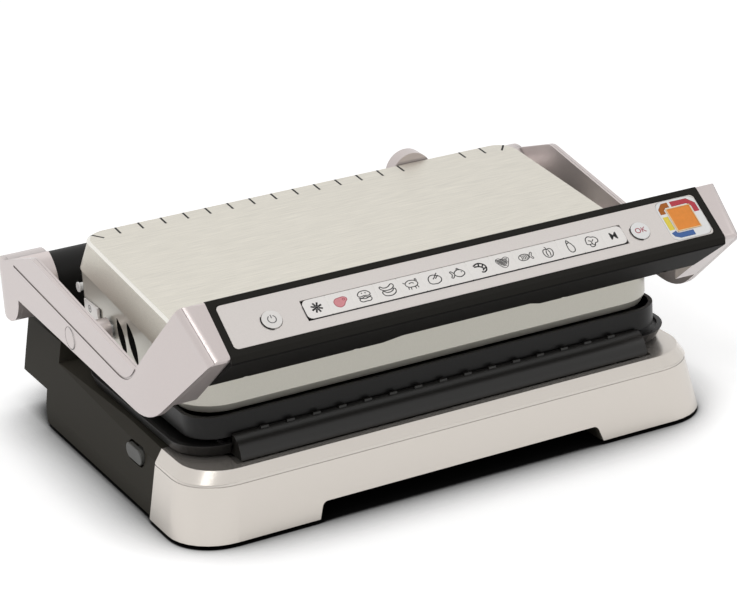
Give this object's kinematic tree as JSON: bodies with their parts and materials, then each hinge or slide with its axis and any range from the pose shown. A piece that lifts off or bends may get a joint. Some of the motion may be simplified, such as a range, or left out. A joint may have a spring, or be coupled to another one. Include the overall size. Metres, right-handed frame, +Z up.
{
  "type": "electric indoor grill",
  "caption": "Electric contact grill: brushed steel lid over ribbed plates, carried by two arms with a tilted control bar; the handle swings open, the lid tilts, the tray slides and keys press.",
  "frame": {"origin": "middle of the overall box, at the height of the surface the feet stand on", "axes": "+X to the right seen from the front, +Y from the control bar towards the hinge, +Z up"},
  "size_m": [0.4658, 0.3843, 0.1903],
  "materials": {
    "lid_steel": "fine brushed",
    "silver_lacquer": "satin silver lacquer",
    "tub_plastic": "matte dark grey-brown",
    "black_plastic": "matte black",
    "bar_plastic": "satin black",
    "panel_film": "satin silver",
    "white_plastic": "glossy white",
    "light_orange": "translucent orange",
    "foot_rubber": "matte",
    "plate_coating": "black non-stick coating",
    "bare_steel": "plain",
    "tube_steel": "dull",
    "circuit_board": "board lacquer"
  },
  "bodies": {
    "base": {"base_tub": "tub_plastic", "front_fascia": "silver_lacquer", "bottom_cover": "black_plastic", "feet": "foot_rubber", "hinge_housing": "black_plastic", "hinge_pins": "bare_steel", "cord_inlet": "black_plastic", "lower_reflector": "bare_steel", "lower_heater": "tube_steel", "lower_plate": "plate_coating", "lower_clips": "bare_steel", "power_board": "circuit_board", "base_screws": "bare_steel"},
    "handle": {"left_arm": "silver_lacquer", "right_arm": "silver_lacquer", "left_arm_skin": "silver_lacquer", "right_arm_skin": "silver_lacquer", "left_pivot_cap": "silver_lacquer", "right_pivot_cap": "silver_lacquer", "head_pins": "bare_steel", "bar_top": "bar_plastic", "bar_bottom": "bar_plastic", "bar_screws": "bare_steel", "control_board": "circuit_board", "control_panel": "panel_film", "indicator_ring": "white_plastic", "indicator_lens": "light_orange"},
    "head": {"lid_cover": "lid_steel", "lid_frame": "silver_lacquer", "upper_reflector": "bare_steel", "upper_heater": "tube_steel", "upper_plate": "plate_coating", "upper_clips": "bare_steel", "side_boss": "white_plastic", "sensor_boss": "silver_lacquer"},
    "tray": {"drip_tray": "bar_plastic"},
    "release": {"plate_release": "bar_plastic", "release_link": "bare_steel"},
    "latch": {"lid_latch": "silver_lacquer"},
    "power": {"power_button": "panel_film"},
    "ok": {"ok_button": "white_plastic"},
    "key_1_body": {"key_1": "panel_film"},
    "key_2_body": {"key_2": "panel_film"},
    "key_3_body": {"key_3": "panel_film"},
    "key_4_body": {"key_4": "panel_film"},
    "key_5_body": {"key_5": "panel_film"},
    "key_6_body": {"key_6": "panel_film"},
    "key_7_body": {"key_7": "panel_film"},
    "key_8_body": {"key_8": "panel_film"},
    "key_9_body": {"key_9": "panel_film"},
    "key_10_body": {"key_10": "panel_film"},
    "key_11_body": {"key_11": "panel_film"},
    "key_12_body": {"key_12": "panel_film"},
    "key_13_body": {"key_13": "panel_film"},
    "key_14_body": {"key_14": "panel_film"}
  },
  "joints": [
    {"name": "handle_swing", "type": "hinge", "parent": "base", "child": "handle", "pos_m": [0, 0.1645, 0.111], "axis": [-1, 0, 0], "range_deg": [0, 180]},
    {"name": "head_tilt", "type": "hinge", "parent": "handle", "child": "head", "pos_m": [0, 0.038, 0.1095], "axis": [-1, 0, 0], "range_deg": [0, 3]},
    {"name": "tray_slide", "type": "slide", "parent": "base", "child": "tray", "axis": [0, -1, 0], "range_m": [0, 0.06]},
    {"name": "plate_release", "type": "slide", "parent": "base", "child": "release", "axis": [1, 0, 0], "range_m": [0, 0.003], "stiffness_N_per_m": 700, "springref_m": -0.001},
    {"name": "lid_latch", "type": "slide", "parent": "head", "child": "latch", "axis": [0, -1, 0], "range_m": [0, 0.007]},
    {"name": "power_press", "type": "slide", "parent": "handle", "child": "power", "axis": [0, 0.6, -0.8], "range_m": [0, 0.0008], "stiffness_N_per_m": 600, "springref_m": -0.001},
    {"name": "ok_press", "type": "slide", "parent": "handle", "child": "ok", "axis": [0, 0.6, -0.8], "range_m": [0, 0.0008], "stiffness_N_per_m": 600, "springref_m": -0.001},
    {"name": "key_1_press", "type": "slide", "parent": "handle", "child": "key_1_body", "axis": [0, 0.6, -0.8], "range_m": [0, 0.0008], "stiffness_N_per_m": 600, "springref_m": -0.001},
    {"name": "key_2_press", "type": "slide", "parent": "handle", "child": "key_2_body", "axis": [0, 0.6, -0.8], "range_m": [0, 0.0008], "stiffness_N_per_m": 600, "springref_m": -0.001},
    {"name": "key_3_press", "type": "slide", "parent": "handle", "child": "key_3_body", "axis": [0, 0.6, -0.8], "range_m": [0, 0.0008], "stiffness_N_per_m": 600, "springref_m": -0.001},
    {"name": "key_4_press", "type": "slide", "parent": "handle", "child": "key_4_body", "axis": [0, 0.6, -0.8], "range_m": [0, 0.0008], "stiffness_N_per_m": 600, "springref_m": -0.001},
    {"name": "key_5_press", "type": "slide", "parent": "handle", "child": "key_5_body", "axis": [0, 0.6, -0.8], "range_m": [0, 0.0008], "stiffness_N_per_m": 600, "springref_m": -0.001},
    {"name": "key_6_press", "type": "slide", "parent": "handle", "child": "key_6_body", "axis": [0, 0.6, -0.8], "range_m": [0, 0.0008], "stiffness_N_per_m": 600, "springref_m": -0.001},
    {"name": "key_7_press", "type": "slide", "parent": "handle", "child": "key_7_body", "axis": [0, 0.6, -0.8], "range_m": [0, 0.0008], "stiffness_N_per_m": 600, "springref_m": -0.001},
    {"name": "key_8_press", "type": "slide", "parent": "handle", "child": "key_8_body", "axis": [0, 0.6, -0.8], "range_m": [0, 0.0008], "stiffness_N_per_m": 600, "springref_m": -0.001},
    {"name": "key_9_press", "type": "slide", "parent": "handle", "child": "key_9_body", "axis": [0, 0.6, -0.8], "range_m": [0, 0.0008], "stiffness_N_per_m": 600, "springref_m": -0.001},
    {"name": "key_10_press", "type": "slide", "parent": "handle", "child": "key_10_body", "axis": [0, 0.6, -0.8], "range_m": [0, 0.0008], "stiffness_N_per_m": 600, "springref_m": -0.001},
    {"name": "key_11_press", "type": "slide", "parent": "handle", "child": "key_11_body", "axis": [0, 0.6, -0.8], "range_m": [0, 0.0008], "stiffness_N_per_m": 600, "springref_m": -0.001},
    {"name": "key_12_press", "type": "slide", "parent": "handle", "child": "key_12_body", "axis": [0, 0.6, -0.8], "range_m": [0, 0.0008], "stiffness_N_per_m": 600, "springref_m": -0.001},
    {"name": "key_13_press", "type": "slide", "parent": "handle", "child": "key_13_body", "axis": [0, 0.6, -0.8], "range_m": [0, 0.0008], "stiffness_N_per_m": 600, "springref_m": -0.001},
    {"name": "key_14_press", "type": "slide", "parent": "handle", "child": "key_14_body", "axis": [0, 0.6, -0.8], "range_m": [0, 0.0008], "stiffness_N_per_m": 600, "springref_m": -0.001}
  ]
}
